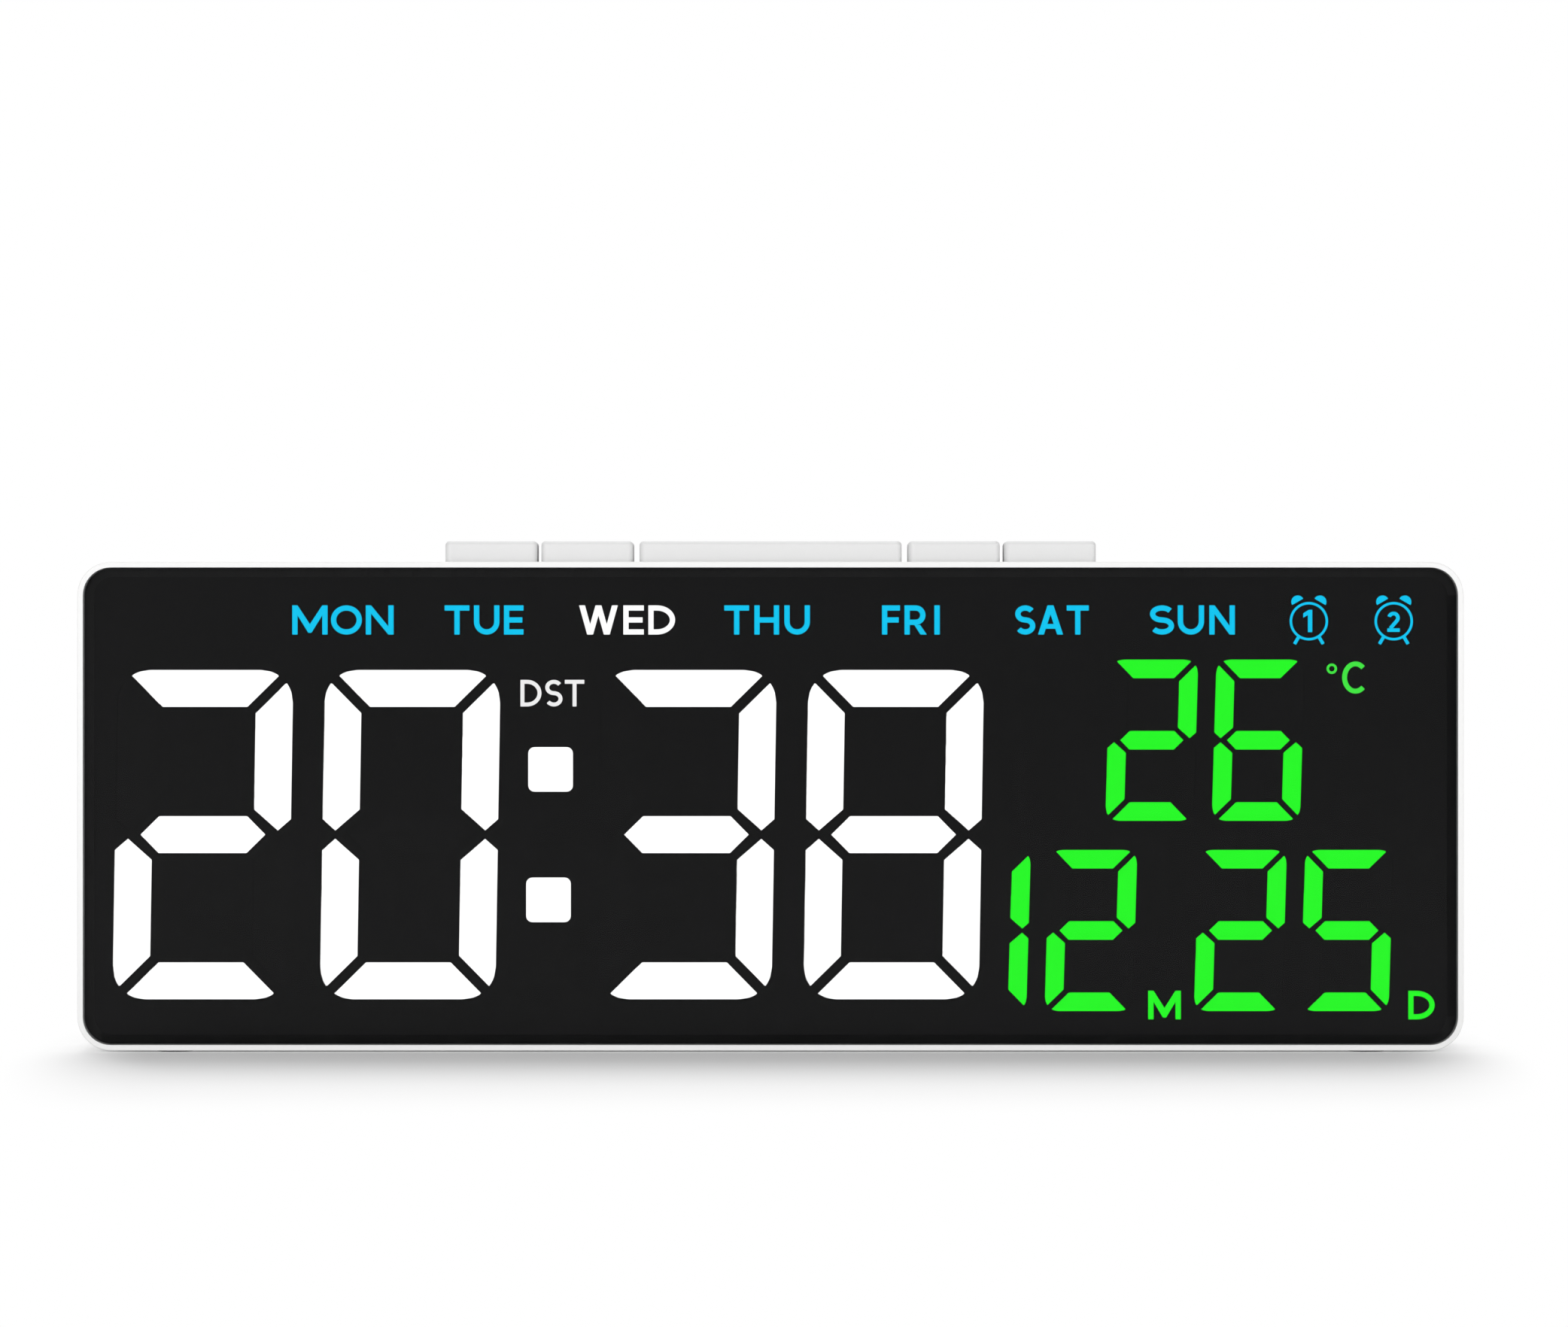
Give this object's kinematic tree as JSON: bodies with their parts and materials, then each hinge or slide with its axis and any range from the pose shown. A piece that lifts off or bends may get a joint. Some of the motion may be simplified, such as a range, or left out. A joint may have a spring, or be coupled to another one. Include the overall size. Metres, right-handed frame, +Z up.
{
  "type": "day clock",
  "caption": "White LED day clock with a smoked front, seven-segment time, date and temperature, top buttons, a battery door and a fold-out stand.",
  "frame": {"origin": "on the table under the middle of the case", "axes": "+Z up, the display faces -Y, +X to the right as one reads the display"},
  "size_m": [0.26, 0.0284, 0.0961],
  "materials": {
    "white_case": "fine satin, moulded",
    "button_plastic": "satin, moulded",
    "smoked_lens": "polished, smoked clear",
    "black_foam_tape": "foam tape",
    "black_print": "matt black print on film",
    "white_reflector": "moulded",
    "milky_diffuser": "milky, diffusing",
    "circuit_board": "solder mask",
    "lamp_resin": "clear resin",
    "zinc_steel": "zinc plated",
    "black_epoxy": "moulded epoxy",
    "crystal_can": "drawn can",
    "capacitor_can": "sleeved can",
    "black_housing": "moulded",
    "nylon": "natural nylon",
    "nickel_contact": "nickel plated",
    "usb_shell": "drawn shell",
    "cell_jacket": "plain sleeve",
    "soft_rubber": "matt",
    "lead_sleeve": "soft sleeve"
  },
  "bodies": {
    "case": {"front_frame": "white_case", "rear_cover": "white_case", "front_lens": "smoked_lens", "lens_tape": "black_foam_tape", "mask_film": "black_print", "reflector": "white_reflector", "hours_tens_segments": "milky_diffuser", "hours_units_segments": "milky_diffuser", "minutes_tens_segments": "milky_diffuser", "minutes_units_segments": "milky_diffuser", "temperature_tens_segments": "milky_diffuser", "temperature_units_segments": "milky_diffuser", "month_tens_segments": "milky_diffuser", "month_units_segments": "milky_diffuser", "day_tens_segments": "milky_diffuser", "day_units_segments": "milky_diffuser", "colon_dots": "milky_diffuser", "weekday_windows": "milky_diffuser", "indicator_windows": "milky_diffuser", "display_board": "circuit_board", "power_board": "circuit_board", "white_lamps": "lamp_resin", "green_lamps": "lamp_resin", "cyan_lamps": "lamp_resin", "reflector_screws": "zinc_steel", "rear_screws": "zinc_steel", "power_board_screws": "zinc_steel", "stand_hinge_pin": "zinc_steel", "controller_chip": "black_epoxy", "driver_chips": "black_epoxy", "chip_resistors": "black_epoxy", "temperature_sensor": "black_epoxy", "clock_crystal": "crystal_can", "capacitors": "capacitor_can", "alarm_buzzer": "black_housing", "button_switches": "black_housing", "lead_connectors": "nylon", "positive_contact": "nickel_contact", "negative_contact": "nickel_contact", "bridge_contact": "nickel_contact", "usb_socket": "usb_shell", "upper_battery": "cell_jacket", "lower_battery": "cell_jacket", "rubber_feet": "soft_rubber", "power_lead": "lead_sleeve", "battery_leads": "lead_sleeve"},
    "stand": {"stand_leg": "white_case", "stand_foot_pad": "soft_rubber"},
    "battery_door_body": {"battery_door": "white_case"},
    "set_key": {"set_button": "button_plastic", "set_plunger": "nylon"},
    "up_key": {"up_button": "button_plastic", "up_plunger": "nylon"},
    "snooze_key": {"snooze_button": "button_plastic", "snooze_plunger": "nylon"},
    "down_key": {"down_button": "button_plastic", "down_plunger": "nylon"},
    "alarm_key": {"alarm_button": "button_plastic", "alarm_plunger": "nylon"}
  },
  "joints": [
    {"name": "stand_swing", "type": "hinge", "parent": "case", "child": "stand", "pos_m": [0, 0.0123, 0.06235], "axis": [1, 0, 0], "range_deg": [0, 35]},
    {"name": "battery_door_swing", "type": "hinge", "parent": "case", "child": "battery_door_body", "pos_m": [0.07125, 0.0132, 0.03295], "axis": [-1, 0, 0], "range_deg": [0, 85]},
    {"name": "set_press", "type": "slide", "parent": "case", "child": "set_key", "axis": [0, 0, -1], "range_m": [0, 0.0005], "stiffness_N_per_m": 1600, "springref_m": -0.0003},
    {"name": "up_press", "type": "slide", "parent": "case", "child": "up_key", "axis": [0, 0, -1], "range_m": [0, 0.0005], "stiffness_N_per_m": 1600, "springref_m": -0.0003},
    {"name": "snooze_press", "type": "slide", "parent": "case", "child": "snooze_key", "axis": [0, 0, -1], "range_m": [0, 0.0005], "stiffness_N_per_m": 1600, "springref_m": -0.0003},
    {"name": "down_press", "type": "slide", "parent": "case", "child": "down_key", "axis": [0, 0, -1], "range_m": [0, 0.0005], "stiffness_N_per_m": 1600, "springref_m": -0.0003},
    {"name": "alarm_press", "type": "slide", "parent": "case", "child": "alarm_key", "axis": [0, 0, -1], "range_m": [0, 0.0005], "stiffness_N_per_m": 1600, "springref_m": -0.0003}
  ]
}
